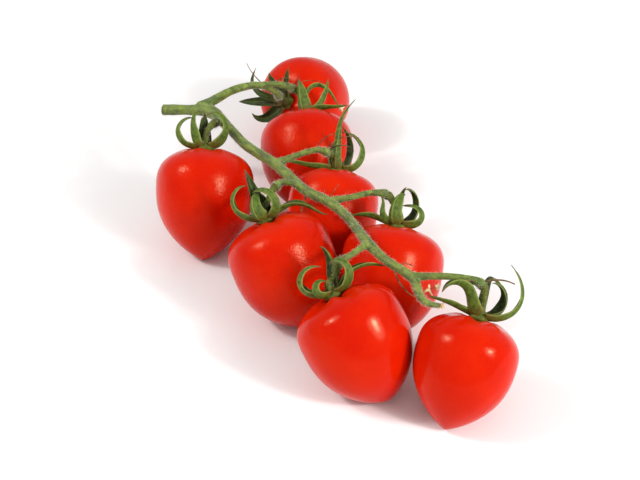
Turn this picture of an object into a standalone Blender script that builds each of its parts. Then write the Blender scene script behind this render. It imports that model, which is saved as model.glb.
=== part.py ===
"""Truss of eight small heart-shaped tomatoes on one branched green stem, lying on a table.

Lengths below are millimetres and angles degrees. The main stem runs along X from its cut end
(-X) to its tip (+X), the table is Z = 0, and AWAY is the level direction azimuths start from.
"""

import math

import bmesh
import bpy
from mathutils import Matrix, Vector

MM = 0.001

# The middle of the bunch's box, in the coordinates the lists below are written in.
MIDDLE = (-3.93, 21.63)

# Level direction that azimuth 0 of every calyx points to: along the bunch's right-hand side.
SIDEWAYS = Vector((0.602, 0.799, 0.0))

# Tomatoes: middle x, y; compass direction and angle of the stalk's lean; width; height; then the
# profile: share of the height where it is widest, power of its shoulder, power of its taper.
TOMATOES = {
    1: (-103.8, 68.7, 291, 65, 42.9, 47.8, 0.40, 2.8, 0.70),
    2: (-60.9, 38.1, 145, 50, 44.3, 49.2, 0.36, 3.0, 0.73),
    3: (-59.4, -21.4, 141, 37, 45.3, 51.4, 0.36, 3.0, 0.81),
    4: (-14.7, 18.0, 133, 46, 40.9, 47.0, 0.39, 3.6, 0.64),
    5: (5.3, -22.9, 184, 35, 44.8, 50.0, 0.39, 3.6, 0.67),
    6: (36.1, 10.3, 129, 43, 43.5, 48.8, 0.38, 3.4, 0.67),
    7: (61.6, -27.9, 188, 40, 44.1, 49.0, 0.35, 3.2, 0.70),
    8: (97.6, -1.8, 116, 40, 41.1, 46.8, 0.35, 2.8, 0.82),
}
MIDDLE_SHARE = 0.42   # share of the height, from the stalk end, where the point that places a tomato lies
DIMPLE_DEEP, DIMPLE_WIDE = 2.5, 5.5
FLAT = 0.2            # how much of each tomato's underside the table flattens
SEGMENTS, RINGS = 20, 13

# Main stem: x, y, z, thickness.
RACHIS = [
    (-114.0, -8.5, 39.0, 6.0), (-104.0, 0.5, 40.5, 5.4), (-94.5, 6.5, 42.0, 6.8),
    (-78.0, 5.0, 42.3, 5.2), (-58.0, 2.0, 43.2, 5.1), (-36.0, 2.5, 44.5, 5.4),
    (-12.0, 0.0, 45.5, 4.9), (4.0, 1.6, 47.0, 4.7), (18.5, 0.0, 48.5, 4.2), (31.0, -3.4, 49.5, 4.2),
    (41.0, -6.0, 50.0, 4.7), (54.0, -7.2, 49.8, 4.0), (67.5, -5.0, 48.5, 4.4),
    (76.5, -8.4, 46.6, 3.6), (80.6, -7.8, 45.2, 3.0), (84.6, -4.4, 44.8, 2.2),
]

# Side shoot that carries the first two tomatoes, and the stalks up to their knuckles.
SHOOTS = {
    "shoot": [(-102.0, 3.5, 41.2, 5.4), (-98.8, 10.0, 44.4, 4.7), (-94.6, 20.0, 49.2, 4.0),
              (-91.5, 31.0, 49.3, 3.6), (-90.0, 38.4, 45.0, 3.2), (-90.5, 43.0, 39.5, 4.2)],
    "stalk_2": [(-91.2, 32.5, 48.6, 3.0), (-88.0, 40.5, 48.2, 2.7), (-84.6, 47.0, 45.0, 4.0)],
    "stalk_3": [(-75.0, 5.0, 42.4, 3.2), (-74.5, 0.5, 47.5, 2.8), (-74.0, -4.5, 50.0, 4.0)],
    "stalk_4": [(-36.5, 3.0, 44.5, 3.4), (-34.0, 11.5, 46.6, 2.7), (-30.5, 20.3, 48.2, 2.6),
                (-27.0, 24.5, 47.0, 4.0)],
    "stalk_5": [(-12.0, 0.0, 45.5, 3.4), (-13.5, -3.0, 48.4, 2.7), (-16.7, -6.6, 49.4, 2.6),
                (-18.2, -10.0, 47.8, 4.0)],
    "stalk_6": [(4.2, 2.4, 47.1, 3.2), (8.6, 8.0, 48.8, 2.7), (12.5, 17.0, 49.8, 2.6),
                (16.6, 23.0, 48.8, 4.0)],
    "stalk_7": [(40.8, -6.5, 50.0, 3.2), (43.0, -12.0, 51.4, 2.7), (44.6, -18.5, 51.8, 2.7),
                (44.2, -23.2, 50.2, 4.0)],
    "stalk_8": [(67.2, -5.5, 48.5, 3.4), (72.5, 0.5, 49.8, 2.9), (80.5, 8.0, 50.7, 2.8),
                (88.0, 13.4, 49.2, 4.2)],
}

# The knuckle each calyx hangs from, and one point its own short stalk passes on the way.
KNUCKLES = {
    1: ((-90.5, 43.0, 39.5), (-93.8, 45.5, 35.2)),
    2: ((-84.6, 47.0, 45.0), (-79.6, 50.4, 41.4)),
    3: ((-74.0, -4.5, 50.0), (-72.4, -10.4, 48.2)),
    4: ((-27.0, 24.5, 47.0), (-27.2, 27.6, 42.4)),
    5: ((-18.2, -10.0, 47.8), (-10.6, -20.4, 47.6)),
    6: ((16.6, 23.0, 48.8), (22.9, 23.7, 45.0)),
    7: ((44.2, -23.2, 50.2), (45.0, -26.6, 44.6)),
    8: ((88.0, 13.4, 49.2), (90.6, 13.1, 43.6)),
}
KNUCKLE_THICK, STALK_THICK, GAP = 3.8, 2.6, 0.3

# Sepals of each calyx: azimuth, length, width, then the angle its midrib climbs at the base,
# at each third and at the tip (90 is straight up the stalk, 180 is curled back inwards),
# and how far it swings sideways by its tip.
SEPALS = {
    1: [(235, 19, 5.2, 0, 25, 30, 20, -120), (182, 24, 4.2, 16, 16, 0, -20, 0),
        (166, 28, 3.2, 27, 11, -30, -20, -95), (115, 14, 5.0, 20, 25, 20, 10, 0),
        (78, 15, 3.4, 8, 12, 10, 5, 0)],
    2: [(240, 16, 6.2, 52, 76, 80, 85, 0), (20, 34, 4.8, 110, 60, -36, -44, 0),
        (345, 20, 3.8, 12, 50, 75, 88, 0), (322, 23, 3.6, 2, -6, -8, 0, 0),
        (110, 18, 4.0, 35, 70, 95, 130, 0)],
    3: [(185, 26, 4.4, -6, 38, 112, 190, 0), (206, 20, 5.2, 5, 75, 95, 175, 0),
        (100, 17, 5.0, 50, 82, 85, 130, -40), (350, 27, 4.6, 12, 65, 130, 225, 0),
        (14, 18, 5.0, 2, 44, 88, 125, 0), (130, 15, 3.6, 40, 85, 95, 110, 0)],
    4: [(256, 35, 4.6, 18, 88, 64, 56, 90), (352, 30, 5.0, -4, 66, 130, 178, 0),
        (45, 26, 3.8, 35, 75, 120, 165, 0), (140, 22, 3.2, 40, 85, 150, 200, -60),
        (190, 24, 3.8, -2, 2, 4, -2, 0)],
    5: [(184, 27, 4.4, 20, 55, 120, 205, 0), (245, 21, 6.0, 5, 85, 150, 215, 0),
        (325, 27, 4.8, -6, 70, 150, 205, 0), (62, 14, 4.6, 30, 75, 110, 160, 0),
        (108, 23, 4.6, 72, 92, 96, 92, 0), (352, 27, 3.8, 6, 0, -45, -20, 0)],
    6: [(194, 15.5, 4.2, 0, 45, 93, 32, 0), (238, 21, 6.0, 10, 85, 130, 200, 0),
        (350, 23, 5.0, 6, 52, 152, 190, 0), (45, 28, 4.4, 18, 62, 130, 212, 0),
        (115, 20, 3.6, 60, 85, 120, 160, 0), (166, 20, 4.0, 12, 14, 0, -25, 0)],
    7: [(182, 28, 4.8, 25, 58, 150, 215, 0), (212, 17, 4.4, 15, 60, 160, 225, 0),
        (42, 21, 4.6, 50, 70, 85, 150, 0), (332, 26, 4.6, -3, 42, 122, 228, 0),
        (14, 25, 3.4, 36, 16, -20, -35, 0)],
    8: [(212, 24, 6.8, 14, 56, 0, -80, -22), (30, 26, 4.6, 2, 58, 128, 205, 0),
        (95, 31, 3.6, 72, 72, -2, -30, -95), (350, 34, 4.6, 0, 52, 112, 145, 0),
        (186, 20, 3.8, 6, 9, 4, 0, 0)],
}
SEPAL_THICK, SEPAL_START, SEPAL_CUP, SEPAL_WIDER = 1.0, 2.2, 0.36, 1.1
HUB_WIDE, HUB_THICK = 8.4, 3.8


def clear_scene():
    for obj in list(bpy.data.objects):
        bpy.data.objects.remove(obj, do_unlink=True)
    for group in list(bpy.data.collections):
        bpy.data.collections.remove(group)


def collection(name, hidden=False):
    made = bpy.data.collections.new(name)
    bpy.context.scene.collection.children.link(made)
    made.hide_render = hidden
    return made


def material(name, colour, roughness):
    made = bpy.data.materials.new(name)
    made.use_nodes = True
    shader = made.node_tree.nodes["Principled BSDF"]
    shader.inputs["Base Color"].default_value = (*colour, 1.0)
    shader.inputs["Roughness"].default_value = roughness
    return made


def solid(name, mesh, group):
    made = bpy.data.objects.new(name, mesh)
    group.objects.link(made)
    return made


def evaluated_mesh(obj):
    """The object's mesh with its modifiers applied, its coincident points made one."""
    bpy.context.view_layer.update()
    graph = bpy.context.evaluated_depsgraph_get()
    mesh = bpy.data.meshes.new_from_object(obj.evaluated_get(graph))
    shape = bmesh.new()
    shape.from_mesh(mesh)
    bmesh.ops.remove_doubles(shape, verts=shape.verts, dist=1e-6)
    bmesh.ops.recalc_face_normals(shape, faces=shape.faces)
    shape.to_mesh(mesh)
    shape.free()
    return mesh


def placed(point):
    return (point[0] - MIDDLE[0]) * MM, (point[1] - MIDDLE[1]) * MM, point[2] * MM


def half_width(t, widest, shoulder, taper):
    """Half the width at share t of the height, as a share of the greatest half width."""
    if t < widest:
        return math.sqrt(max(0.0, 1 - (1 - t / widest) ** shoulder))
    return max(0.0, 1 - ((t - widest) / (1 - widest)) ** 2.35) ** taper


def turned(lean_to, lean, number):
    """Axes of a tomato and its calyx: Z up the stalk, X towards SIDEWAYS, in the columns."""
    to, by = math.radians(lean_to), math.radians(lean)
    up = Vector((math.sin(by) * math.cos(to), math.sin(by) * math.sin(to), math.cos(by)))
    side = (SIDEWAYS - up * SIDEWAYS.dot(up)).normalized()
    return Matrix((side, up.cross(side), up)).transposed()


def tomato(number, group):
    """A sphere drawn out to the heart profile, laid on the table. Returns it and its calyx frame."""
    x, y, lean_to, lean, width, height, widest, shoulder, taper = TOMATOES[number]
    bpy.ops.mesh.primitive_uv_sphere_add(segments=SEGMENTS, ring_count=RINGS, radius=1)
    ball = bpy.context.object
    mesh = ball.data
    bpy.data.objects.remove(ball)
    axes = turned(lean_to, lean, number)
    for vert in mesh.vertices:
        t = max(0.0, (1 - vert.co.z) / 2) ** 1.25
        angle = math.atan2(vert.co.y, vert.co.x)
        lobes = 1 + 0.014 * math.cos(2 * angle + number) + 0.008 * math.cos(3 * angle + 2 * number)
        r = half_width(t, widest, shoulder, taper) * width / 2 * lobes
        z = (MIDDLE_SHARE - t) * height - DIMPLE_DEEP * math.exp(-(r / DIMPLE_WIDE) ** 2) * (t < widest)
        vert.co = axes @ Vector((r * math.cos(angle), r * math.sin(angle), z))
    low = min(vert.co.z for vert in mesh.vertices) + FLAT
    for vert in mesh.vertices:
        vert.co = placed((vert.co.x + x, vert.co.y + y, vert.co.z - low))
    shape = bmesh.new()
    shape.from_mesh(mesh)
    cut = bmesh.ops.bisect_plane(
        shape, geom=shape.verts[:] + shape.edges[:] + shape.faces[:], dist=1e-7,
        plane_co=(0, 0, 0), plane_no=(0, 0, -1), clear_outer=True)
    edges = [item for item in cut["geom_cut"] if isinstance(item, bmesh.types.BMEdge)]
    bmesh.ops.holes_fill(shape, edges=edges)
    bmesh.ops.recalc_face_normals(shape, faces=shape.faces)
    shape.to_mesh(mesh)
    shape.free()
    mesh.name = f"tomato_{number}"
    top = axes @ Vector((0, 0, MIDDLE_SHARE * height)) + Vector((x, y, -low))
    return solid(f"tomato_{number}", mesh, group), axes, top


def rod(name, points, group, fineness=3):
    """A round stem through the points, each (x, y, z, thickness), with flat ends."""
    curve = bpy.data.curves.new(name, "CURVE")
    curve.dimensions = "3D"
    curve.bevel_depth = 0.5 * MM
    curve.bevel_resolution = 2
    curve.resolution_u = fineness
    curve.use_fill_caps = True
    spline = curve.splines.new("BEZIER")
    spline.bezier_points.add(len(points) - 1)
    for knot, point in zip(spline.bezier_points, points):
        knot.co = placed(point)
        knot.handle_left_type = knot.handle_right_type = "AUTO"
        knot.radius = point[3]
    drawn = bpy.data.objects.new(name, curve)
    group.objects.link(drawn)
    mesh = evaluated_mesh(drawn)
    bpy.data.objects.remove(drawn)
    return solid(name, mesh, group)


def heading(sepal, s):
    """The midrib's climb at share s of its length: the cubic through the four stated angles."""
    total = 0.0
    for k in range(4):
        share = 1.0
        for m in range(4):
            if m != k:
                share *= (s - m / 3) / ((k - m) / 3)
        total += sepal[3 + k] * share
    return math.radians(total)


def midrib(sepal, steps):
    """Points, forward directions and outward directions along a sepal, in its calyx's frame."""
    azimuth, length = math.radians(sepal[0]), sepal[1]
    point = Vector((SEPAL_START * math.cos(azimuth), SEPAL_START * math.sin(azimuth), 0.1))
    points, forwards, backs = [], [], []
    for k in range(2 * steps + 1):
        s = k / steps / 2
        climb, swing = heading(sepal, s), azimuth + math.radians(sepal[7]) * s * s
        level = Vector((math.cos(swing), math.sin(swing), 0))
        forward = level * math.cos(climb) + Vector((0, 0, math.sin(climb)))
        if k % 2:
            point = point + forward * (length / steps)
            continue
        points.append(point.copy())
        forwards.append(forward)
        backs.append(level * math.sin(climb) - Vector((0, 0, math.cos(climb))))
    return points, forwards, backs


def blade_width(s):
    """Share of the stated width at share s of the length: a lance shape with a drawn-out tip."""
    return max(0.12, (1 - s ** 2) * (0.95 + 0.25 * s))


def sepal_solid(name, sepal, axes, top, group, steps=8):
    """A ball drawn out along the midrib and flattened to a blade whose edges curl up."""
    bpy.ops.mesh.primitive_uv_sphere_add(segments=8, ring_count=steps, radius=1)
    ball = bpy.context.object
    mesh = ball.data
    bpy.data.objects.remove(ball)
    points, forwards, backs = midrib(sepal, steps)
    for vert in mesh.vertices:
        k = round(math.acos(max(-1.0, min(1.0, vert.co.z))) / math.pi * steps)
        round_here = math.hypot(vert.co.x, vert.co.y)
        across, outside = (vert.co.x / round_here, vert.co.y / round_here) if 0 < k < steps else (0, 0)
        half = blade_width(k / steps) * sepal[2] / 2 * SEPAL_WIDER
        thick = min(SEPAL_THICK / 2, half)
        lift = outside * thick - SEPAL_CUP * 2 * half * across ** 2
        local = points[k] + backs[k].cross(forwards[k]) * (half * across) + backs[k] * lift
        vert.co = placed(axes @ local + top)
    return solid(name, mesh, group)


def hub(name, axes, top, group):
    """The round button in the tomato's dimple that the sepals and the stalk grow from."""
    bpy.ops.mesh.primitive_uv_sphere_add(segments=10, ring_count=6, radius=1)
    ball = bpy.context.object
    mesh = ball.data
    bpy.data.objects.remove(ball)
    for vert in mesh.vertices:
        local = Vector((vert.co.x * HUB_WIDE / 2, vert.co.y * HUB_WIDE / 2,
                        vert.co.z * HUB_THICK / 2 - 0.2))
        vert.co = placed(axes @ local + top)
    return solid(name, mesh, group)


def joined(name, pieces, group, helpers):
    """One solid made of the pieces, which overlap where they grow together."""
    body = pieces[0]
    for piece in pieces[1:]:
        union = body.modifiers.new(piece.name, "BOOLEAN")
        union.operation = "UNION"
        union.solver = "EXACT"
        union.use_self = True
        union.object = piece
    mesh = evaluated_mesh(body)
    for piece in pieces:
        bpy.data.objects.remove(piece)
    made = solid(name, mesh, group)
    mesh.name = name
    return made


def through(number):
    """The knuckle's middle and the direction both stalks have there, so that their ends are parallel."""
    before = SHOOTS["shoot" if number == 1 else f"stalk_{number}"][-2][:3]
    knuckle, way = (Vector(point) for point in KNUCKLES[number])
    return knuckle, ((way - knuckle).normalized() + (knuckle - Vector(before)).normalized()).normalized(), way


def calyx(number, axes, top, group, helpers):
    """Sepals, hub and the short stalk up to the knuckle, grown as one piece."""
    knuckle, toward, way = through(number)
    foot = axes @ Vector((0, 0, 0.5)) + top
    ankle = axes @ Vector((0, 0, 4.5)) + top
    stalk = rod(f"stalk_{number}", [
        (*foot, 4.6), (*ankle, STALK_THICK * 1.15), (*way, STALK_THICK),
        (*(knuckle + toward * (GAP + 1.8)), KNUCKLE_THICK * 0.85),
        (*(knuckle + toward * GAP), KNUCKLE_THICK)], helpers, 2)
    pieces = [hub(f"hub_{number}", axes, top, helpers), stalk]
    pieces += [sepal_solid(f"sepal_{number}_{k}", sepal, axes, top, helpers)
               for k, sepal in enumerate(SEPALS[number])]
    return joined(f"calyx_{number}", pieces, group, helpers)


def stem(group, helpers):
    """The main stem with its side shoot and stalks, grown as one piece."""
    pieces = [rod("rachis", RACHIS, helpers)]
    for name, points in SHOOTS.items():
        knuckle, toward, _ = through(1 if name == "shoot" else int(name[-1]))
        thick = points[-1][3]
        pieces.append(rod(name, points[:-1] + [(*(knuckle - toward * 1.4), thick * 0.9),
                                               (*knuckle, thick)], helpers, 2))
    return joined("truss_stem", pieces, group, helpers)


def main():
    clear_scene()
    bunch = collection("tomato_truss")
    helpers = collection("helpers", hidden=True)
    made = [(stem(bunch, helpers), (0.20, 0.21, 0.06), 0.7)]
    for number in TOMATOES:
        fruit, axes, top = tomato(number, bunch)
        made.append((fruit, (0.78, 0.025, 0.005), 0.25))
        made.append((calyx(number, axes, top, bunch, helpers), (0.12, 0.2, 0.04), 0.75))
    for obj, colour, roughness in made:
        obj.data.materials.clear()
        obj.data.materials.append(material(obj.name, colour, roughness))


main()
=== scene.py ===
"""A truss of small heart-shaped tomatoes on a white table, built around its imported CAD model.

Every piece is drawn in millimetres on the same axes as the CAD: X runs along the main stem from
its cut end to its tip and the table is Z = 0. make_piece turns millimetres to metres.
"""

import math

import bpy
import numpy as np
from bpy.props import FloatProperty, FloatVectorProperty, IntProperty, PointerProperty
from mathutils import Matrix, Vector


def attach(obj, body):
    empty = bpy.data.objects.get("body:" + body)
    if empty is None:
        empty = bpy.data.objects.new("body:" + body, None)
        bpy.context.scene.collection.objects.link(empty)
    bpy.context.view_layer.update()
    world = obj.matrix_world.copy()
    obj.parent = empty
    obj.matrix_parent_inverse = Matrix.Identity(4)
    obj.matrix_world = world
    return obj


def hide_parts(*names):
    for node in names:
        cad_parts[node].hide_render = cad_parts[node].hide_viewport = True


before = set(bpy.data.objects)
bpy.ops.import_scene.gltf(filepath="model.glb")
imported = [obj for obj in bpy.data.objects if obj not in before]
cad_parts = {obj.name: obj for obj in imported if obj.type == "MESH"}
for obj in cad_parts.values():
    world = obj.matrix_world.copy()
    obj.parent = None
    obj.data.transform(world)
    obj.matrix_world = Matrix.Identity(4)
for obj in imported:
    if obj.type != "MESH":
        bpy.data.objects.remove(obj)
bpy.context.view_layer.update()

bl_info = {
    "name": "Tomato Truss",
    "version": (1, 0, 0),
    "blender": (4, 5, 0),
    "location": "3D View > Sidebar > Truss",
    "description": "Builds a truss of glossy tomatoes with its hairy green stem and curled calyxes",
    "category": "Add Mesh",
}

MM = 0.001
MIDDLE = np.array([-3.93, 21.63, 0.0])    # of the bunch's box, on the axes of the lists below
SIDEWAYS = np.array([0.602, 0.799, 0.0])  # level direction that azimuth 0 of each calyx points to

# Tomatoes: middle x, y; compass direction and angle of the stalk's lean; width; height; then the
# profile: share of the height where it is widest, power of its shoulder, power of its taper.
TOMATOES = {
    1: (-103.8, 68.7, 291, 65, 42.9, 47.8, 0.40, 2.8, 0.70),
    2: (-60.9, 38.1, 145, 50, 44.3, 49.2, 0.36, 3.0, 0.73),
    3: (-59.4, -21.4, 141, 37, 45.3, 51.4, 0.36, 3.0, 0.81),
    4: (-14.7, 18.0, 133, 46, 40.9, 47.0, 0.39, 3.6, 0.64),
    5: (5.3, -22.9, 184, 35, 44.8, 50.0, 0.39, 3.6, 0.67),
    6: (36.1, 10.3, 129, 43, 43.5, 48.8, 0.38, 3.4, 0.67),
    7: (61.6, -27.9, 188, 40, 44.1, 49.0, 0.35, 3.2, 0.70),
    8: (97.6, -1.8, 116, 40, 41.1, 46.8, 0.35, 2.8, 0.82),
}
MIDDLE_SHARE = 0.42   # share of the height, from the stalk end, at which its place is given
DIMPLE_DEEP, DIMPLE_WIDE = 2.5, 5.5
FLAT = 0.2            # how much of each tomato's underside the table flattens
TAPER_ONSET = 2.35    # power that holds back the taper below the widest place
TWO_LOBES, THREE_LOBES = 0.014, 0.008     # swellings two and three times round the stalk
FOLD, DEEP_FOLD, CREASED = 0.5, 0.9, 7    # height of the folds, and of the most creased tomato's
FOLD_OUT, FOLD_FADE = 7, 5                # how far out the folds are highest, and their spread

# Roughness and grain of each tomato's skin: the older fruits have lost some of their wax.
BLOOM = {1: (0.20, 0.5), 2: (0.20, 1.0), 3: (0.16, 1.0), 4: (0.22, 0.7), 5: (0.15, 0.9),
         6: (0.17, 0.5), 7: (0.13, 0.1), 8: (0.14, 0.2)}

# Main stem: x, y, z, thickness.
RACHIS = [
    (-114.0, -8.5, 39.0, 6.0), (-104.0, 0.5, 40.5, 5.4), (-94.5, 6.5, 42.0, 6.8),
    (-78.0, 5.0, 42.3, 5.2), (-58.0, 2.0, 43.2, 5.1), (-36.0, 2.5, 44.5, 5.4),
    (-12.0, 0.0, 45.5, 4.9), (4.0, 1.6, 47.0, 4.7), (18.5, 0.0, 48.5, 4.2), (31.0, -3.4, 49.5, 4.2),
    (41.0, -6.0, 50.0, 4.7), (54.0, -7.2, 49.8, 4.0), (67.5, -5.0, 48.5, 4.4),
    (76.5, -8.4, 46.6, 3.6), (80.6, -7.8, 45.2, 3.0), (84.6, -4.4, 44.8, 2.2),
]

# Side shoot that carries the first two tomatoes, and the stalks up to their knuckles.
SHOOTS = {
    1: [(-102.0, 3.5, 41.2, 5.4), (-98.8, 10.0, 44.4, 4.7), (-94.6, 20.0, 49.2, 4.0),
        (-91.5, 31.0, 49.3, 3.6), (-90.0, 38.4, 45.0, 3.2), (-90.5, 43.0, 39.5, 4.2)],
    2: [(-91.2, 32.5, 48.6, 3.0), (-88.0, 40.5, 48.2, 2.7), (-84.6, 47.0, 45.0, 4.0)],
    3: [(-75.0, 5.0, 42.4, 3.2), (-74.5, 0.5, 47.5, 2.8), (-74.0, -4.5, 50.0, 4.0)],
    4: [(-36.5, 3.0, 44.5, 3.4), (-34.0, 11.5, 46.6, 2.7), (-30.5, 20.3, 48.2, 2.6),
        (-27.0, 24.5, 47.0, 4.0)],
    5: [(-12.0, 0.0, 45.5, 3.4), (-13.5, -3.0, 48.4, 2.7), (-16.7, -6.6, 49.4, 2.6),
        (-18.2, -10.0, 47.8, 4.0)],
    6: [(4.2, 2.4, 47.1, 3.2), (8.6, 8.0, 48.8, 2.7), (12.5, 17.0, 49.8, 2.6),
        (16.6, 23.0, 48.8, 4.0)],
    7: [(40.8, -6.5, 50.0, 3.2), (43.0, -12.0, 51.4, 2.7), (44.6, -18.5, 51.8, 2.7),
        (44.2, -23.2, 50.2, 4.0)],
    8: [(67.2, -5.5, 48.5, 3.4), (72.5, 0.5, 49.8, 2.9), (80.5, 8.0, 50.7, 2.8),
        (88.0, 13.4, 49.2, 4.2)],
}

# The knuckle each calyx hangs from, and one point its own short stalk passes on the way.
KNUCKLES = {
    1: ((-90.5, 43.0, 39.5), (-93.8, 45.5, 35.2)),
    2: ((-84.6, 47.0, 45.0), (-79.6, 50.4, 41.4)),
    3: ((-74.0, -4.5, 50.0), (-72.4, -10.4, 48.2)),
    4: ((-27.0, 24.5, 47.0), (-27.2, 27.6, 42.4)),
    5: ((-18.2, -10.0, 47.8), (-10.6, -20.4, 47.6)),
    6: ((16.6, 23.0, 48.8), (22.9, 23.7, 45.0)),
    7: ((44.2, -23.2, 50.2), (45.0, -26.6, 44.6)),
    8: ((88.0, 13.4, 49.2), (90.6, 13.1, 43.6)),
}
KNUCKLE_THICK, STALK_THICK = 3.8, 2.6

# Sepals of each calyx: azimuth, length, width, then the angle its midrib climbs at the base,
# at each third and at the tip (90 is straight up the stalk, 180 is curled back inwards),
# and how far it swings sideways by its tip.
SEPALS = {
    1: [(235, 19, 5.2, 0, 25, 30, 20, -120), (182, 24, 4.2, 16, 16, 0, -20, 0),
        (166, 28, 3.2, 27, 11, -30, -20, -95), (115, 14, 5.0, 20, 25, 20, 10, 0),
        (78, 15, 3.4, 8, 12, 10, 5, 0)],
    2: [(240, 16, 6.2, 52, 76, 80, 85, 0), (20, 34, 4.8, 110, 60, -36, -44, 0),
        (345, 20, 3.8, 12, 50, 75, 88, 0), (322, 23, 3.6, 2, -6, -8, 0, 0),
        (110, 18, 4.0, 35, 70, 95, 130, 0)],
    3: [(185, 26, 4.4, -6, 38, 112, 190, 0), (206, 20, 5.2, 5, 75, 95, 175, 0),
        (100, 17, 5.0, 50, 82, 85, 130, -40), (350, 27, 4.6, 12, 65, 130, 225, 0),
        (14, 18, 5.0, 2, 44, 88, 125, 0), (130, 15, 3.6, 40, 85, 95, 110, 0)],
    4: [(256, 35, 4.6, 18, 88, 64, 56, 90), (352, 30, 5.0, -4, 66, 130, 178, 0),
        (45, 26, 3.8, 35, 75, 120, 165, 0), (140, 22, 3.2, 40, 85, 150, 200, -60),
        (190, 24, 3.8, -2, 2, 4, -2, 0)],
    5: [(184, 27, 4.4, 20, 55, 120, 205, 0), (245, 21, 6.0, 5, 85, 150, 215, 0),
        (325, 27, 4.8, -6, 70, 150, 205, 0), (62, 14, 4.6, 30, 75, 110, 160, 0),
        (108, 23, 4.6, 72, 92, 96, 92, 0), (352, 27, 3.8, 6, 0, -45, -20, 0)],
    6: [(194, 15.5, 4.2, 0, 45, 93, 32, 0), (238, 21, 6.0, 10, 85, 130, 200, 0),
        (350, 23, 5.0, 6, 52, 152, 190, 0), (45, 28, 4.4, 18, 62, 130, 212, 0),
        (115, 20, 3.6, 60, 85, 120, 160, 0), (166, 20, 4.0, 12, 14, 0, -25, 0)],
    7: [(182, 28, 4.8, 25, 58, 150, 215, 0), (212, 17, 4.4, 15, 60, 160, 225, 0),
        (42, 21, 4.6, 50, 70, 85, 150, 0), (332, 26, 4.6, -3, 42, 122, 228, 0),
        (14, 25, 3.4, 36, 16, -20, -35, 0)],
    8: [(212, 24, 6.8, 14, 56, 0, -80, -22), (30, 26, 4.6, 2, 58, 128, 205, 0),
        (95, 31, 3.6, 72, 72, -2, -30, -95), (350, 34, 4.6, 0, 52, 112, 145, 0),
        (186, 20, 3.8, 6, 9, 4, 0, 0)],
}
SEPAL_START, SEPAL_RISE, SEPAL_CUP, SEPAL_WIDER = 2.2, 0.1, 0.36, 1.25
SEPAL_THICK, SEPAL_THINS = 0.6, 0.25      # half thickness at the base, and what is lost by the tip
LONG_SEPAL = 26                           # a longer sepal narrows sooner
MIDRIB, SIDE_VEIN, FURROW = 0.32, 0.20, 0.16
EDGE_WAVE, EDGE_WAVE_LONG = 0.34, 2.6     # size of the edge's waves, and mm to each radian
HUB_WIDE, HUB_THICK, HUB_SUNK, HUB_SWELL = 8.4, 3.8, 0.5, 0.08
FOOT_THICK = 5.0                          # of the calyx's stalk, inside the button
FLARE, FIRST_FLARE, FLARE_LONG = 0.35, 0.1, 3.2   # of a shoot's foot, of shoot 1's, and its reach

# Withered strands: the run each grows from (0 is the main stem, the others are shoots), the share
# along it, compass direction, climb at the root and at the tip, swing to the side by the tip,
# length and thickness.
STRANDS = [
    (0, 0.46, 80, 50, 35, 20, 9, 0.5), (0, 0.45, 115, 55, 20, 40, 5, 0.4),
    (0, 0.41, -75, -45, 15, 85, 24, 0.8), (0, 0.75, -20, -35, 20, 15, 20, 0.8),
    (0, 0.76, 70, 40, -20, -60, 8, 0.5), (4, 0.70, 130, 25, -5, -110, 22, 0.5),
    (4, 0.95, 110, 40, -10, -75, 18, 0.6), (4, 0.98, 60, 50, -10, -75, 17, 0.7),
    (2, 0.90, 80, 25, -10, -60, 20, 0.4), (8, 0.97, -115, 45, -40, -20, 11, 0.9),
    (8, 0.98, 50, 35, -5, -35, 15, 0.9), (1, 0.97, 205, 20, 10, -45, 26, 0.7),
    (1, 0.80, 110, 60, -5, -110, 13, 0.6),
]

# The bleached flower remains hang on a strand of their own, on the stub and on one sepal's tip.
FLOWER_STRAND = (0, 0.867, 100, 25, 0, -45, 8, 0.4)
FLOWER_SEPAL = (2, 1)   # calyx, and which of its sepals

BARE = 0.9            # share of the stated thickness that the stem's skin takes, under its hairs
STEM_VOXEL = 0.42     # grid that melts the stem's shoots into one skin
STALK_HAIRS = 260     # on each calyx's own stalk
HUB_MARK = (0.25, 0.16, 1.0)   # button and stalk are coloured as a blade's outside near its base

# The stage: table, lights and camera. Light distances and sizes are in metres.
TABLE_HALF, TABLE_TOP = 4000.0, -0.15     # a hair below Z = 0, so that nothing flickers against it
LEFT, RIGHT = (-0.39, -0.59, 0.71), (0.81, 0.20, 0.55)   # directions the lights stand in
LIGHT_AWAY, SOFTBOX, LAMP = 1.1, 0.5, 0.13
EYE, LOOKED_AT, LENS = (417.9, -314.9, 412.35), (0.0, 0.0, 25.0), 83.5


# ---------------------------------------------------------------------------- shapes

def unit(vectors):
    """Vectors divided by their own lengths."""
    return vectors / np.linalg.norm(vectors, axis=-1, keepdims=True)


def path(points, steps):
    """A smooth run through the points: between two of them, the cubic whose slope at each one is
    half the step between its neighbours. Returns rows of x, y, z and thickness."""
    knots = np.array(points, float)
    ends = np.vstack([2 * knots[0] - knots[1], knots, 2 * knots[-1] - knots[-2]])
    place = np.linspace(0, len(knots) - 1, steps)
    first = np.minimum(place.astype(int), len(knots) - 2)
    f = (place - first)[:, None]
    a, b, c, d = ends[first], ends[first + 1], ends[first + 2], ends[first + 3]
    return 0.5 * (2 * b + (c - a) * f + (2 * a - 5 * b + 4 * c - d) * f ** 2
                  + (3 * b - a - 3 * c + d) * f ** 3)


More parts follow.
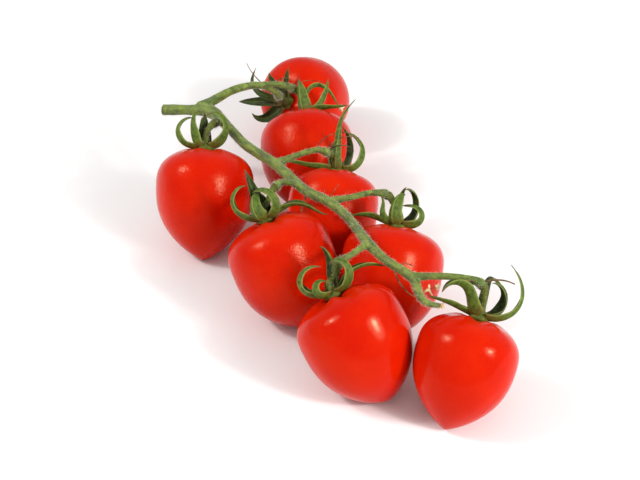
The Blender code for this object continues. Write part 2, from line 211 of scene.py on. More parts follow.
def tube(run, sides, shape):
    """Rings carried along a run. Each point of a ring lies at half the run's thickness times
    shape(angle round it, millimetres along it), square to the run."""
    centre = run[:, :3]
    forward = unit(np.gradient(centre, axis=0))
    square = np.linalg.svd(centre - centre.mean(axis=0))[2][2]   # normal of the plane it bends in
    side = unit(np.cross(forward, square))
    up = np.cross(side, forward)
    along = np.concatenate([[0], np.cumsum(np.linalg.norm(np.diff(centre, axis=0), axis=1))])
    angle = 2 * np.pi * np.arange(sides) / sides
    radius = (run[:, 3:] / 2 * shape(angle[None], along[:, None]))[..., None]
    return centre[:, None] + radius * (side[:, None] * np.cos(angle)[None, :, None]
                                       + up[:, None] * np.sin(angle)[None, :, None])


def closed(rings):
    """Rings joined into one closed surface, with a point in the middle of each end ring. The
    faces are turned to point outwards, where the volume they bound is positive."""
    rows, sides = rings.shape[:2]
    points = np.vstack([rings[0].mean(axis=0), rings.reshape(-1, 3), rings[-1].mean(axis=0)])
    here = np.arange(sides)
    following = (here + 1) % sides
    row = 1 + sides * np.arange(rows - 1)[:, None]
    walls = np.stack([row + here, row + following, row + sides + following, row + sides + here], -1)
    walls = walls.reshape(-1, 4)
    last = 1 + sides * (rows - 1)
    caps = np.vstack([np.stack([0 * here, 1 + following, 1 + here], -1),
                      np.stack([0 * here + last + sides, last + here, last + following], -1)])
    halves = np.vstack([walls[:, [0, 1, 2]], walls[:, [0, 2, 3]], caps])
    if np.linalg.det(points[halves]).sum() < 0:
        walls, caps = walls[:, ::-1], caps[:, ::-1]
    return points, walls, caps


def half_width(t, widest, shoulder, taper):
    """Half a tomato's width at share t of its height, as a share of the greatest half width: the
    root of 1 - (1 - t / widest)^shoulder above the widest place, and (1 - u^2.35)^taper below it,
    where u runs from there to the point."""
    above = np.sqrt(1 - np.clip(1 - t / widest, 0, 1) ** shoulder)
    below = np.clip((t - widest) / (1 - widest), 0, 1)
    return np.where(t < widest, above, (1 - below ** TAPER_ONSET) ** taper)


def turned(number):
    """Axes of a tomato and its calyx, one in each row: sideways, across and up the stalk."""
    lean_to, lean = TOMATOES[number][2:4]
    to, by = math.radians(lean_to), math.radians(lean)
    up = np.array([math.sin(by) * math.cos(to), math.sin(by) * math.sin(to), math.cos(by)])
    side = unit(SIDEWAYS - up * (SIDEWAYS @ up))
    return np.stack([side, np.cross(up, side), up])


def fruit(number, rows=84, sides=112):
    """A tomato as a function of the height's share t and the angle a round its stalk: radius
    half_width(t) with two- and three-lobed swellings, height falling with t, a bell-shaped
    dimple at the stalk and shallow folds that fade away from it. Rows lie on its stalk's axes;
    it is set down so that the table flattens its lowest FLAT mm. Returns rings, axes and top."""
    x, y, _, _, width, height, widest, shoulder, taper = TOMATOES[number]
    t = ((1 - np.cos(np.pi * (np.arange(rows) + 0.5) / rows)) / 2) ** 1.25
    a = 2 * np.pi * np.arange(sides) / sides
    t, a = t[:, None], a[None]
    lobes = 1 + TWO_LOBES * np.cos(2 * a + number) + THREE_LOBES * np.cos(3 * a + 2 * number)
    r = half_width(t, widest, shoulder, taper) * width / 2 * lobes
    folds = (DEEP_FOLD if number == CREASED else FOLD) * np.exp(-((r - FOLD_OUT) / FOLD_FADE) ** 2)
    folds = folds * np.cos(5 * a + 3 * number) * (t < widest)
    dimple = DIMPLE_DEEP * np.exp(-(r / DIMPLE_WIDE) ** 2) * (t < widest)
    z = (MIDDLE_SHARE - t) * height - dimple
    local = np.stack([r * np.cos(a), r * np.sin(a), z + folds + 0 * r], -1)
    axes = turned(number)
    rings = local @ axes
    low = rings[..., 2].min() + FLAT
    rings = rings + np.array([x, y, -low])
    rings[..., 2] = np.maximum(rings[..., 2], 0)
    return rings, axes, axes[2] * MIDDLE_SHARE * height + np.array([x, y, -low])


def climb(sepal, s):
    """The midrib's climb at share s of its length: the cubic through the four stated angles."""
    total = 0
    for k in range(4):
        share = 1
        for m in set(range(4)) - {k}:
            share = share * (s - m / 3) / ((k - m) / 3)
        total = total + sepal[3 + k] * share
    return np.radians(total)


def midrib(sepal, steps):
    """Points, directions and outward normals along a sepal, on its calyx's axes. The direction
    climbs as stated and swings sideways with the square of the share s; each point is the last
    one plus the direction half way between them."""
    def direction(s):
        level = np.radians(sepal[0]) + np.radians(sepal[7]) * s ** 2
        level = np.stack([np.cos(level), np.sin(level), 0 * s], -1)
        angle = climb(sepal, s)[:, None]
        up = np.array([0, 0, 1])
        ahead = level * np.cos(angle) + up * np.sin(angle)
        return ahead, level * np.sin(angle) - up * np.cos(angle)

    s = np.linspace(0, 1, steps + 1)
    forward, back = direction(s)
    between, _ = direction((s[1:] + s[:-1]) / 2)
    start = np.array([SEPAL_START * math.cos(math.radians(sepal[0])),
                      SEPAL_START * math.sin(math.radians(sepal[0])), SEPAL_RISE])
    steps_made = np.vstack([np.zeros(3), np.cumsum(between * sepal[1] / steps, axis=0)])
    return start + steps_made, forward, back, s


def blade(sepal, axes, top, wave, rows=44, sides=24):
    """A sepal as a function of the share s along it and the angle q round its cross-section,
    where x = cos q runs from edge to edge. Half width: a lance shape, (1 - s^2) (0.95 + 0.25 s),
    with a lower power than 2 on a sepal longer than LONG_SEPAL, which narrows sooner. Thickness:
    an ellipse, half of it SEPAL_THICK at most. To these are added a cup that bends the edges
    inwards with x^2, a raised midrib and two side veins on the outside, a furrow inside, and an
    edge that waves with x^3 times a sine along it. Returns rings and, for each point, x, s and
    sin q, which is 1 on the outside and -1 on the inside."""
    points, forward, back, s = midrib(sepal, rows)
    s = s[:, None]
    q = (2 * np.pi * np.arange(sides) / sides)[None]
    x, outside = np.cos(q), np.sin(q)
    power = 2 * min(1, LONG_SEPAL / sepal[1]) ** 3
    half = np.maximum(0.08, (1 - s ** power) * (0.95 + 0.25 * s)) * sepal[2] / 2 * SEPAL_WIDER
    half = half * np.sqrt(np.clip((1.004 - s) / 0.03, 0, 1))
    thick = np.minimum(SEPAL_THICK - SEPAL_THINS * s, half * 0.8)
    veins = SIDE_VEIN * np.exp(-((np.abs(x) - 0.5) / 0.13) ** 2)
    ribs = (MIDRIB * np.exp(-(x / 0.16) ** 2) + veins) * (1 - s) * np.clip(outside, 0, 1)
    ribs = ribs + FURROW * np.exp(-(x / 0.2) ** 2) * np.clip(-outside, 0, 1) * (1 - s)
    edge = EDGE_WAVE * x ** 3 * np.sin(s * sepal[1] / EDGE_WAVE_LONG + wave)
    edge = edge * np.sin(np.pi * s) * half / 2
    lift = outside * thick + ribs - SEPAL_CUP * 2 * half * x ** 2 + edge
    across = np.cross(back, forward)
    local = (points[:, None] + across[:, None] * (half * x)[..., None]
             + back[:, None] * lift[..., None])
    marks = np.stack([x + 0 * s, s + 0 * x, outside + 0 * s], -1)
    return local @ axes + top, marks


def button(axes, top, folds, rows=16, sides=40):
    """The round button that the sepals grow from: a flattened ball whose rim swells once for each
    sepal, by HUB_SWELL, as a cosine of the angle round it."""
    height = np.pi * (np.arange(rows) + 0.5)[:, None] / rows
    a = (2 * np.pi * np.arange(sides) / sides)[None]
    r = np.sin(height) * HUB_WIDE / 2 * (0.95 + HUB_SWELL * np.cos(folds * a))
    z = np.cos(height) * HUB_THICK / 2 - HUB_SUNK + 0 * a
    local = np.stack([r * np.cos(a), r * np.sin(a), z], -1)
    return local @ axes + top


def woody(angle, along):
    """A stem's cross-section: slightly oval, with five low ridges that wander as they run along
    it and swellings every few millimetres."""
    return (1 + 0.035 * np.cos(2 * angle + 0.05 * along) + 0.028 * np.cos(5 * angle + 0.11 * along)
            + 0.022 * np.sin(0.55 * along + 2 * angle) + 0.015 * np.sin(1.3 * along + 1.0))


def through(number):
    """The knuckle's middle, the direction both stalks have there, and the next point."""
    before = np.array(SHOOTS[number][-2][:3])
    knuckle, way = (np.array(point) for point in KNUCKLES[number])
    return knuckle, unit(unit(way - knuckle) + unit(knuckle - before)), way


def shoot_run(number):
    """A stalk up to its knuckle, where it swells and rounds off. Its foot flares over the first
    few millimetres, so that it grows out of the stem. Its first point, inside the stem, is
    slimmer and stays hidden."""
    knuckle, toward, _ = through(number)
    thick = SHOOTS[number][-1][3]
    run = path(SHOOTS[number][:-1] + [(*(knuckle - toward * 1.4), thick * 0.88),
                                      (*(knuckle - toward * 0.2), thick),
                                      (*(knuckle + toward * 0.6), thick * 0.55)], 60)
    along = np.concatenate([[0], np.cumsum(np.linalg.norm(np.diff(run[:, :3], axis=0), axis=1))])
    run[:, 3] *= 1 + (FIRST_FLARE if number == 1 else FLARE) * np.exp(-(along / FLARE_LONG) ** 2)
    run[:, 3] *= np.clip(0.5 + along / 3, 0, 1)
    return run


def calyx_stalk_run(number, axes, top):
    """The calyx's own stalk, from inside the button to the knuckle."""
    knuckle, toward, way = through(number)
    foot, ankle = top + axes[2] * 0.5, top + axes[2] * 4.5
    return path([(*foot, FOOT_THICK), (*ankle, STALK_THICK * 1.15), (*way, STALK_THICK),
                 (*(knuckle + toward * 1.9), KNUCKLE_THICK * 0.84),
                 (*(knuckle + toward * 0.5), KNUCKLE_THICK),
                 (*(knuckle - toward * 0.5), KNUCKLE_THICK * 0.7)], 48)


def hairs(roots, normals, dice, longest, thick=0.07):
    """One four-faced spike on each root: a triangle of the given thickness in the skin, and a tip
    along the normal, bent by a random share, 0.35 to 1 times the longest hair away."""
    count = len(roots)
    lean = unit(normals + dice.normal(0, 0.33, (count, 3)))
    length = longest * dice.uniform(0.35, 1, (count, 1))
    side = unit(np.cross(lean, dice.normal(0, 1, (count, 3))))
    other = np.cross(lean, side)
    turns = np.radians([0, 120, 240])
    base = (roots[:, None] - lean[:, None] * 0.05
            + thick / 2 * (side[:, None] * np.cos(turns)[None, :, None]
                           + other[:, None] * np.sin(turns)[None, :, None]))
    points = np.concatenate([base, (roots + lean * length)[:, None]], axis=1).reshape(-1, 3)
    faces = np.array([(0, 1, 3), (1, 2, 3), (2, 0, 3), (0, 2, 1)])
    faces = (faces[None] + 4 * np.arange(count)[:, None, None]).reshape(-1, 3)
    return points, np.empty((0, 4), int), faces


def roots_on_tube(run, count, dice):
    """Random places on a run's skin and the directions square to the run there."""
    k = dice.integers(1, len(run) - 2, count)
    share = dice.uniform(0, 1, (count, 1))
    here = run[k] * (1 - share) + run[k + 1] * share
    forward = unit(run[k + 1, :3] - run[k, :3])
    normal = unit(np.cross(forward, dice.normal(0, 1, (count, 3))))
    return here[:, :3] + normal * here[:, 3:] / 2 * 0.98, normal


def shreds(middle, dice, count=7):
    """The dry shreds of a flower: short bent runs that leave its middle in random directions."""
    runs = []
    for _ in range(count):
        out = unit(dice.normal(0, 1, 3) * (1, 1, 0.6))
        bend = unit(dice.normal(0, 1, 3))
        reach = dice.uniform(1.0, 2.4)
        steps = [np.zeros(3), out * reach * 0.4, out * reach * 0.8 + bend * 0.25,
                 out * reach + bend * 0.8]
        runs.append([(*(np.array(middle) + step), thick)
                     for step, thick in zip(steps, (0.7, 0.9, 0.7, 0.3))])
    return runs


def strand(number, share, azimuth, climb_root, climb_tip, swing, length, thick, steps=12):
    """A strand that grows from inside a stem. Its climb and its compass direction change evenly
    from root to tip, and it thins to half."""
    stem = path(RACHIS if number == 0 else SHOOTS[number], 400)
    root = stem[round(share * (len(stem) - 1)), :3]
    s = (np.arange(steps) + 0.5) / steps
    climb_now = np.radians(climb_root + (climb_tip - climb_root) * s)
    compass = np.radians(azimuth + swing * s)
    forward = np.stack([np.cos(compass) * np.cos(climb_now), np.sin(compass) * np.cos(climb_now),
                        np.sin(climb_now)], -1)
    points = root + np.vstack([np.zeros(3), np.cumsum(forward * length / steps, axis=0)])
    return np.column_stack([points, np.linspace(thick, thick / 2, steps + 1)])


def flower_middles():
    """Where flower remains sit: just past half way and at the end of their strand, at the stub's
    end, and at the tip of the sepal that has caught some."""
    stalk = strand(*FLOWER_STRAND)
    number, which = FLOWER_SEPAL
    _, axes, top = fruit(number)
    tip = midrib(SEPALS[number][which], 44)[0][-1] @ axes + top
    return [stalk[7, :3], stalk[-1, :3], np.array(RACHIS[-1][:3]), tip]


# ---------------------------------------------------------------------------- pieces

def make_piece(name, shells, finish, nodes=(), marks=None):
    """One mesh object of the given closed shells, in millimetres, riding on the bunch."""
    points, faces, count = [], [], 0
    for shell_points, walls, caps in shells:
        points.append(shell_points)
        faces += (walls + count).tolist() + (caps + count).tolist()
        count += len(shell_points)
    mesh = bpy.data.meshes.new(name)
    mesh.from_pydata((np.vstack(points) - MIDDLE) * MM, [], faces)
    mesh.polygons.foreach_set("use_smooth", np.ones(len(mesh.polygons), bool))
    if marks is not None:
        mesh.attributes.new("blade", "FLOAT_VECTOR", "POINT").data.foreach_set(
            "vector", np.vstack(marks).astype(np.float32).ravel())
    mesh.materials.append(finish)
    piece = bpy.data.objects.new(name, mesh)
    bpy.context.scene.collection.objects.link(piece)
    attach(piece, "root")
    if nodes:
        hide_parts(*nodes)
    return piece


def melted(piece, voxel, passes):
    """The piece's overlapping shells made one skin on a fine grid, then smoothed, with the
    modifiers applied."""
    grid = piece.modifiers.new("one skin", "REMESH")
    grid.mode = "VOXEL"
    grid.voxel_size = voxel * MM
    grid.use_smooth_shade = True
    soft = piece.modifiers.new("soft", "SMOOTH")
    soft.factor = 0.5
    soft.iterations = passes
    bpy.context.view_layer.update()
    graph = bpy.context.evaluated_depsgraph_get()
    mesh = bpy.data.meshes.new_from_object(piece.evaluated_get(graph))
    piece.modifiers.clear()
    piece.data = mesh
    mesh.name = piece.name


# ---------------------------------------------------------------------------- materials

def linear(code):
    """A colour written as sRGB hex, as the linear RGBA that shaders take."""
    channels = [int(code[k:k + 2], 16) / 255 for k in (1, 3, 5)]
    return [c / 12.92 if c <= 0.04045 else ((c + 0.055) / 1.055) ** 2.4 for c in channels] + [1.0]


def add(tree, kind, links=None, **settings):
    """A node of this kind. Settings are its own properties; links gives sockets values or links."""
    made = tree.nodes.new(kind)
    for name, value in settings.items():
        setattr(made, name, value)
    for name, value in (links or {}).items():
        if isinstance(value, bpy.types.NodeSocket):
            tree.links.new(value, made.inputs[name])
        else:
            made.inputs[name].default_value = value
    return made


def new_material(name):
    """An empty material, its tree, its Principled shader and the piece's own coordinates."""
    made = bpy.data.materials.new(name)
    made.use_nodes = True
    tree = made.node_tree
    place = add(tree, "ShaderNodeTexCoord").outputs["Object"]
    return made, tree, tree.nodes["Principled BSDF"], place


def fruit_skin(look, number):
    """Ripe tomato skin: a thin clear cuticle of natural wax over red flesh. It gives the eye one
    even orange-red that deepens in patches, a wet gloss, and pores that break its highlights."""
    made, tree, shader, place = new_material(f"ripe tomato skin {number}")
    # patches of riper flesh, about 18 mm across
    patches = add(tree, "ShaderNodeTexNoise", {"Vector": place, "Scale": 1 / 0.018, "Detail": 2.0},
                  noise_dimensions="4D")
    patches.inputs["W"].default_value = number * 3.7
    spread = add(tree, "ShaderNodeMapRange", {"Value": patches.outputs["Fac"], "From Min": 0.35,
                                              "From Max": 0.65})
    red = add(tree, "ShaderNodeMix", {0: spread.outputs["Result"], 6: [*look.skin, 1.0],
                                      7: [*look.skin_deep, 1.0]}, data_type="RGBA")
    # pale flecks 0.3 mm wide, about one to each 1.4 mm: painted glints that stand for the sparkle
    # of the skin's pores in its highlights, spread evenly over the skin
    glint_fleck_cells = add(tree, "ShaderNodeTexVoronoi", {"Vector": place, "Scale": 1 / 0.0014})
    glint_fleck_mask = add(tree, "ShaderNodeMapRange", {"Value": glint_fleck_cells.outputs["Distance"], "From Min": 0.10,
                                             "From Max": 0.24, "To Min": 0.08, "To Max": 0.0})
    glint_dotted = add(tree, "ShaderNodeMix", {0: glint_fleck_mask.outputs["Result"], 6: red.outputs[2],
                                         7: linear("#F0602A")}, data_type="RGBA")
    tree.links.new(glint_dotted.outputs[2], shader.inputs["Base Color"])
    # pores 0.7 mm apart and a slow unevenness of 5 mm
    pores = add(tree, "ShaderNodeTexNoise", {"Vector": place, "Scale": 1 / 0.0007, "Detail": 1.0})
    waves = add(tree, "ShaderNodeTexNoise", {"Vector": place, "Scale": 1 / 0.005, "Detail": 1.0})
    wavy = add(tree, "ShaderNodeBump", {"Height": waves.outputs["Fac"], "Strength": 0.06,
                                        "Distance": 0.0012})
    dull, grain = BLOOM[number]
    pored = add(tree, "ShaderNodeBump", {"Height": pores.outputs["Fac"],
                                         "Strength": 0.05 + 0.25 * grain, "Distance": 0.0004,
                                         "Normal": wavy.outputs["Normal"]})
    tree.links.new(pored.outputs["Normal"], shader.inputs["Normal"])
    shader.inputs["Roughness"].default_value = min(1.0, look.roughness * dull)
    shader.inputs["IOR"].default_value = 1.22
    shader.inputs["Specular Tint"].default_value = (1.0, 0.80, 0.48, 1.0)
    shader.inputs["Subsurface Weight"].default_value = 0.12
    shader.inputs["Subsurface Radius"].default_value = (1.0, 0.15, 0.05)
    shader.inputs["Subsurface Scale"].default_value = 0.003
    return made


def green_skin(name, light, dark, brown, browning):
    """Living green stem: ribbed skin with a bloom of short hairs. It gives the eye a mottled matt
    green, with brown flecks where it was bruised."""
    made, tree, shader, place = new_material(name)
    run = add(tree, "ShaderNodeMapping", {"Vector": place, "Scale": (0.35, 1.0, 1.0)})
    # mottling 2.5 mm across, drawn out along the stem
    mottle = add(tree, "ShaderNodeTexNoise", {"Vector": run.outputs["Vector"], "Scale": 1 / 0.0025,
                                              "Detail": 4.0, "Roughness": 0.6})
    spread = add(tree, "ShaderNodeMapRange", {"Value": mottle.outputs["Fac"], "From Min": 0.38,
                                              "From Max": 0.64})
    green = add(tree, "ShaderNodeMix", {0: spread.outputs["Result"], 6: linear(dark),
                                        7: linear(light)}, data_type="RGBA")
    # bruises about 7 mm apart, with ragged 0.8 mm edges
    bruise = add(tree, "ShaderNodeTexNoise", {"Vector": place, "Scale": 1 / 0.007, "Detail": 6.0,
                                              "Roughness": 0.75})
    bruised = add(tree, "ShaderNodeMapRange", {"Value": bruise.outputs["Fac"], "From Min": 0.54,
                                               "From Max": 0.66, "To Max": browning})
    stained = add(tree, "ShaderNodeMix", {0: bruised.outputs["Result"], 6: green.outputs[2],
                                          7: linear(brown)}, data_type="RGBA")
    # dark specks 0.5 mm wide, about one to each 1.5 mm
    specks = add(tree, "ShaderNodeTexVoronoi", {"Vector": place, "Scale": 1 / 0.0015})
    speck = add(tree, "ShaderNodeMapRange", {"Value": specks.outputs["Distance"], "From Min": 0.12,
                                             "From Max": 0.30, "To Min": 0.55, "To Max": 0.0})
    specked = add(tree, "ShaderNodeMix", {0: speck.outputs["Result"], 6: stained.outputs[2],
                                          7: linear("#33401A")}, data_type="RGBA")
    tree.links.new(specked.outputs[2], shader.inputs["Base Color"])
    # grain of 0.35 mm over the mottling
    grain = add(tree, "ShaderNodeTexNoise", {"Vector": run.outputs["Vector"], "Scale": 1 / 0.00035,
                                             "Detail": 2.0})
    rough = add(tree, "ShaderNodeBump", {"Height": grain.outputs["Fac"], "Strength": 0.35,
                                         "Distance": 0.0003})
    tree.links.new(rough.outputs["Normal"], shader.inputs["Normal"])
    shader.inputs["Roughness"].default_value = 0.62
    shader.inputs["Sheen Weight"].default_value = 0.25
    shader.inputs["Sheen Roughness"].default_value = 0.4
    return made


def sepal_skin(look):
    """Tomato sepal: a thin leaf with a raised midrib. It gives the eye a light yellow-green
    outside with paler veins, a deep green inside darkened further by painted shade of the
    curled blade's hollow, brown where it meets the fruit, and a tip that has dried to straw."""
    made, tree, shader, place = new_material("tomato sepal")
    marks = add(tree, "ShaderNodeAttribute", attribute_name="blade")
    split = add(tree, "ShaderNodeSeparateXYZ", {"Vector": marks.outputs["Vector"]})
    across, along, side = split.outputs["X"], split.outputs["Y"], split.outputs["Z"]
    # mottling 1.6 mm across
    mottle = add(tree, "ShaderNodeTexNoise", {"Vector": place, "Scale": 1 / 0.0016, "Detail": 4.0,
                                              "Roughness": 0.6})
    uneven = add(tree, "ShaderNodeMapRange", {"Value": mottle.outputs["Fac"], "From Min": 0.35,
                                              "From Max": 0.65})
    outer = add(tree, "ShaderNodeMix", {0: uneven.outputs["Result"], 6: [*look.sepal_dark, 1.0],
                                        7: [*look.sepal, 1.0]}, data_type="RGBA")
    # the inside's dark green is partly its own deeper colour and partly painted shade of the curled
    # blade's hollow
    inner_green_and_shade = add(tree, "ShaderNodeMix", {0: uneven.outputs["Result"], 6: linear("#1E2A0A"),
                                        7: linear("#3E4E17")}, data_type="RGBA")
    # the two faces meet at the blade's edge
    facing = add(tree, "ShaderNodeMapRange", {"Value": side, "From Min": -0.25, "From Max": 0.15})
    leaf = add(tree, "ShaderNodeMix", {0: facing.outputs["Result"], 6: inner_green_and_shade.outputs[2],
                                       7: outer.outputs[2]}, data_type="RGBA")
    # midrib and two side veins: pale lines a tenth of the blade wide
    fold = add(tree, "ShaderNodeMath", {0: across, 1: 2.0}, operation="MULTIPLY")
    wrapped = add(tree, "ShaderNodeMath", {0: fold.outputs[0], 1: 1.0}, operation="PINGPONG")
    vein = add(tree, "ShaderNodeMapRange", {"Value": wrapped.outputs[0], "From Min": 0.04,
                                            "From Max": 0.30, "To Min": 0.55, "To Max": 0.0})
    drawn = add(tree, "ShaderNodeMapRange", {"Value": facing.outputs["Result"], "To Min": 0.35})
    shown = add(tree, "ShaderNodeMath", {0: vein.outputs["Result"], 1: drawn.outputs["Result"]},
                operation="MULTIPLY")
    veined = add(tree, "ShaderNodeMix", {0: shown.outputs[0], 6: leaf.outputs[2],
                                         7: linear("#98A254")}, data_type="RGBA")
    base = add(tree, "ShaderNodeMapRange", {"Value": along, "From Min": 0.04, "From Max": 0.24,
                                            "To Min": 0.55, "To Max": 0.0})
    stained = add(tree, "ShaderNodeMix", {0: base.outputs["Result"], 6: veined.outputs[2],
                                          7: linear("#6B4A1C")}, data_type="RGBA")
    tip = add(tree, "ShaderNodeMapRange", {"Value": along, "From Min": 0.82, "From Max": 0.99})
    dried = add(tree, "ShaderNodeMix", {0: tip.outputs["Result"], 6: stained.outputs[2],
                                        7: linear("#5E5030")}, data_type="RGBA")
    tree.links.new(dried.outputs[2], shader.inputs["Base Color"])
    grain = add(tree, "ShaderNodeTexNoise", {"Vector": place, "Scale": 1 / 0.0004, "Detail": 2.0})
    rough = add(tree, "ShaderNodeBump", {"Height": grain.outputs["Fac"], "Strength": 0.3,
                                         "Distance": 0.0003})
    tree.links.new(rough.outputs["Normal"], shader.inputs["Normal"])
    shader.inputs["Roughness"].default_value = 0.6
    shader.inputs["Specular IOR Level"].default_value = 0.25
    return made


def hair_skin():
    """Plant hair: a clear, dry cell. It gives the eye a pale fuzz along the stem's outline."""
    made, tree, shader, place = new_material("pale plant hair")
    tone = add(tree, "ShaderNodeTexNoise", {"Vector": place, "Scale": 1 / 0.004})
    pale = add(tree, "ShaderNodeMix", {0: tone.outputs["Fac"], 6: linear("#CDD0A8"),
                                       7: linear("#F0EEDC")}, data_type="RGBA")
    tree.links.new(pale.outputs[2], shader.inputs["Base Color"])
    shader.inputs["Roughness"].default_value = 0.6
    return made


def withered_skin(name, one, other):
    """Withered strand: a dead thread of plant, matt, its tone changing every 3 mm."""
    made, tree, shader, place = new_material(name)
    tone = add(tree, "ShaderNodeTexNoise", {"Vector": place, "Scale": 1 / 0.003, "Detail": 2.0})
    spread = add(tree, "ShaderNodeMapRange", {"Value": tone.outputs["Fac"], "From Min": 0.4,
                                              "From Max": 0.6})
    mixed = add(tree, "ShaderNodeMix", {0: spread.outputs["Result"], 6: linear(one),
                                        7: linear(other)}, data_type="RGBA")
    tree.links.new(mixed.outputs[2], shader.inputs["Base Color"])
    shader.inputs["Roughness"].default_value = 0.75
    return made


def table_paper(look):
    """White paper sweep under studio light: matt, its tone varying by up to a hundredth."""
    made, tree, shader, place = new_material("white paper sweep")
    tone = add(tree, "ShaderNodeTexNoise", {"Vector": place, "Scale": 1 / 0.25, "Detail": 2.0})
    paper = add(tree, "ShaderNodeMix", {0: tone.outputs["Fac"], 6: [*look.floor, 1.0],
                                        7: [min(1.0, c * 1.01) for c in look.floor] + [1.0]},
                data_type="RGBA")
    tree.links.new(paper.outputs[2], shader.inputs["Base Color"])
    shader.inputs["Roughness"].default_value = 0.9
    shader.inputs["Specular IOR Level"].default_value = 0.1
    return made


# ---------------------------------------------------------------------------- add-on

class FruitLook(bpy.types.PropertyGroup):
    skin: FloatVectorProperty(name="Skin", description="Red of the lit skin", size=3, min=0, max=1,
                              subtype="COLOR", default=linear("#CC1F02")[:3])
    skin_deep: FloatVectorProperty(name="Deep skin", description="Red of the ripest patches",
                                   size=3, min=0, max=1, subtype="COLOR",
                                   default=linear("#C01402")[:3])
    roughness: FloatProperty(name="Dullness", description="Factor on every skin's roughness", min=0,
                             max=3, default=1.0)


class GreenLook(bpy.types.PropertyGroup):
    sepal: FloatVectorProperty(name="Sepal", description="Outside of a sepal", size=3, min=0, max=1,
                               subtype="COLOR", default=linear("#607425")[:3])
    sepal_dark: FloatVectorProperty(name="Sepal, dark", description="Mottling of a sepal's outside",
                                    size=3, min=0, max=1, subtype="COLOR",
                                    default=linear("#364D15")[:3])
    hair: FloatProperty(name="Hair", description="Length of the longest hair", min=0, max=0.003,
                        unit="LENGTH", default=0.0015)
    hair_count: IntProperty(name="Hairs", description="Hairs on the stem", min=0, max=20000,
                            default=6500)


class StageLook(bpy.types.PropertyGroup):
    floor: FloatVectorProperty(name="Floor", description="Colour of the paper", size=3, min=0,
                               max=1, subtype="COLOR", default=linear("#F2F1F0")[:3])
    left_light: FloatProperty(name="Left light", description="Power of the light on the left",
                              min=0, subtype="POWER", default=6.2)
    right_light: FloatProperty(name="Right light", description="Power of the light on the right",
                              min=0, subtype="POWER", default=9.8)
    sky: FloatProperty(name="Surroundings", description="Strength of the white surroundings", min=0,
                       default=0.6)


class TRUSS_OT_fruits(bpy.types.Operator):
    """Eight glossy fruits in place of their CAD solids"""
    bl_idname = "truss.fruits"
    bl_label = "Tomatoes"

    def execute(self, context):
        look = context.scene.truss_fruit
        for number in TOMATOES:
            rings, _, _ = fruit(number)
            node = f"tomato_{number}"
            make_piece(f"fruit_{number}", [closed(rings)], fruit_skin(look, number), [node])
        return {"FINISHED"}


class TRUSS_OT_stem(bpy.types.Operator):
    """The branched stem as one skin, and the hairs on it"""
    bl_idname = "truss.stem"
    bl_label = "Stem"

    def execute(self, context):
        look = context.scene.truss_green
        dice = np.random.default_rng(11)
        rachis = path(RACHIS, 260)
        rachis[:, 3] *= BARE
        runs = [rachis] + [shoot_run(number) for number in SHOOTS]
        shells = [closed(tube(run, 28, woody)) for run in runs]
        bark = green_skin("green tomato stem", "#78892C", "#475B1B", "#54421F", 0.8)
        stem = make_piece("stem", shells, bark, ["truss_stem"])
        melted(stem, STEM_VOXEL, 3)
        lengths = [np.linalg.norm(np.diff(run[:, :3], axis=0), axis=1).sum() for run in runs]
        placed = [roots_on_tube(run, int(look.hair_count * length / sum(lengths)), dice)
                  for run, length in zip(runs, lengths)]
        roots, normals = (np.vstack(part) for part in zip(*placed))
        make_piece("stem_hairs", [hairs(roots, normals, dice, look.hair / MM)], hair_skin())
        return {"FINISHED"}


class TRUSS_OT_withered(bpy.types.Operator):
    """Withered strands and flower remains about the stem"""
    bl_idname = "truss.withered"
    bl_label = "Withered parts"

    def execute(self, context):
        dice = np.random.default_rng(5)
        strands = [strand(*row) for row in [*STRANDS, FLOWER_STRAND]]
        flowers = [run for middle in flower_middles() for run in shreds(middle, dice)]
        dead = withered_skin("withered strand", "#33260F", "#7A5C36")
        bleached = withered_skin("bleached flower", "#B98F5C", "#E6D8AE")
        for name, runs, skin in (("withered_strands", strands, dead),
                                 ("withered_flowers", flowers, bleached)):
            shells = [closed(tube(path(run, 24), 8, woody)) for run in runs]
            make_piece(name, shells, skin)
        return {"FINISHED"}


class TRUSS_OT_calyxes(bpy.types.Operator):
    """Each calyx: its sepals, the button they grow from and its short stalk"""
    bl_idname = "truss.calyxes"
    bl_label = "Calyxes"

    def execute(self, context):
        look = context.scene.truss_green
        finish = sepal_skin(look)
        fuzz = hair_skin()
        for number, sepals in SEPALS.items():
            dice = np.random.default_rng(100 + number)
            _, axes, top = fruit(number)
            shells, marks = [], []
            for k, sepal in enumerate(sepals):
                rings, mark = blade(sepal, axes, top, number + 2.1 * k)
                shells.append(closed(rings))
                marks.append(np.vstack([mark[0].mean(axis=0), mark.reshape(-1, 3),
                                        mark[-1].mean(axis=0)]))
            stalk = calyx_stalk_run(number, axes, top)
            for rings in (button(axes, top, len(sepals)), tube(stalk, 24, woody)):
                shells.append(closed(rings))
                marks.append(np.tile(HUB_MARK, (len(shells[-1][0]), 1)))
            node = f"calyx_{number}"
            make_piece(f"sepals_{number}", shells, finish, [node], marks)
            roots, normals = roots_on_tube(stalk, STALK_HAIRS, dice)
            make_piece(f"sepal_hairs_{number}", [hairs(roots, normals, dice, look.hair / MM)], fuzz)
        return {"FINISHED"}


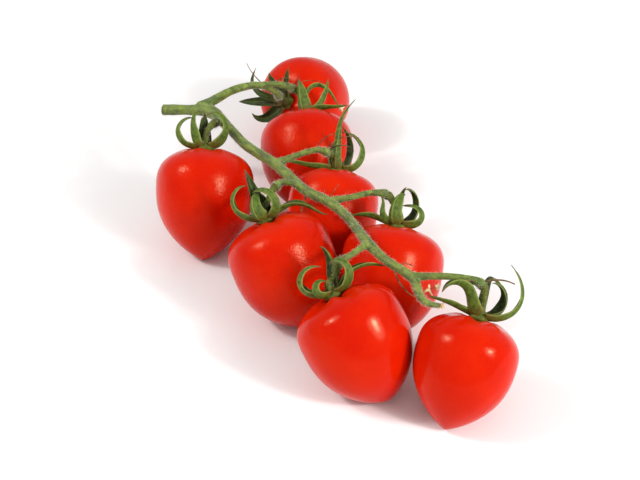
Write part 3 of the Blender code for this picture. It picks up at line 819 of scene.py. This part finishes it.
class TRUSS_OT_stage(bpy.types.Operator):
    """White table, a softbox and a lamp on each side, pale surroundings and the camera"""
    bl_idname = "truss.stage"
    bl_label = "Stage"

    def execute(self, context):
        scene = context.scene
        look = scene.truss_stage
        corners = np.array([(x * TABLE_HALF, y * TABLE_HALF, TABLE_TOP)
                            for x, y in ((-1, -1), (1, -1), (1, 1), (-1, 1))])
        mesh = bpy.data.meshes.new("table")
        mesh.from_pydata(corners * MM, [], [(0, 1, 2, 3)])
        mesh.materials.append(table_paper(look))
        table = bpy.data.objects.new("table", mesh)
        scene.collection.objects.link(table)

        world = bpy.data.worlds.new("white surroundings")
        world.use_nodes = True
        sky = world.node_tree.nodes["Background"]
        sky.inputs["Color"].default_value = linear("#FFFFFF")
        sky.inputs["Strength"].default_value = look.sky
        scene.world = world

        # each side has a wide softbox, and a small lamp in its middle that the skins mirror
        for name, power, towards, size in (
                ("left softbox", look.left_light / 2, LEFT, SOFTBOX),
                ("left lamp", look.left_light / 2, LEFT, LAMP),
                ("right softbox", look.right_light / 2, RIGHT, SOFTBOX),
                ("right lamp", look.right_light / 2, RIGHT, LAMP)):
            light = bpy.data.lights.new(name, "AREA")
            light.shape = "DISK"
            light.size = size
            light.energy = power
            lamp = bpy.data.objects.new(name, light)
            scene.collection.objects.link(lamp)
            towards = Vector(towards).normalized()
            lamp.location = towards * LIGHT_AWAY
            lamp.rotation_euler = towards.to_track_quat("Z", "Y").to_euler()

        camera = bpy.data.cameras.new("camera")
        camera.lens = LENS
        camera.sensor_width = 36.0
        eye = bpy.data.objects.new("camera", camera)
        scene.collection.objects.link(eye)
        eye.location = (Vector(EYE) - Vector(MIDDLE)) * MM
        look_at = (Vector(LOOKED_AT) - Vector(MIDDLE)) * MM
        eye.rotation_euler = (look_at - eye.location).to_track_quat("-Z", "Y").to_euler()
        scene.camera = eye
        scene.view_settings.view_transform = "Standard"
        return {"FINISHED"}


class TRUSS_PT_panel(bpy.types.Panel):
    bl_idname = "TRUSS_PT_panel"
    bl_label = "Tomato Truss"
    bl_space_type = "VIEW_3D"
    bl_region_type = "UI"
    bl_category = "Truss"

    def draw(self, context):
        scene = context.scene
        for group in (scene.truss_fruit, scene.truss_green, scene.truss_stage):
            box = self.layout.box()
            for name in group.__annotations__:
                box.prop(group, name)
        for operator in OPERATORS:
            self.layout.operator(operator.bl_idname)


OPERATORS = (TRUSS_OT_stage, TRUSS_OT_fruits, TRUSS_OT_stem, TRUSS_OT_calyxes, TRUSS_OT_withered)
CLASSES = (FruitLook, GreenLook, StageLook, *OPERATORS, TRUSS_PT_panel)


def register():
    for item in CLASSES:
        bpy.utils.register_class(item)
    bpy.types.Scene.truss_fruit = PointerProperty(type=FruitLook)
    bpy.types.Scene.truss_green = PointerProperty(type=GreenLook)
    bpy.types.Scene.truss_stage = PointerProperty(type=StageLook)


def unregister():
    for name in ("truss_stage", "truss_green", "truss_fruit"):
        delattr(bpy.types.Scene, name)
    for item in reversed(CLASSES):
        bpy.utils.unregister_class(item)


def main():
    register()
    bpy.ops.truss.stage()
    bpy.ops.truss.fruits()
    bpy.ops.truss.stem()
    bpy.ops.truss.calyxes()
    bpy.ops.truss.withered()


if __name__ == "__main__":
    main()
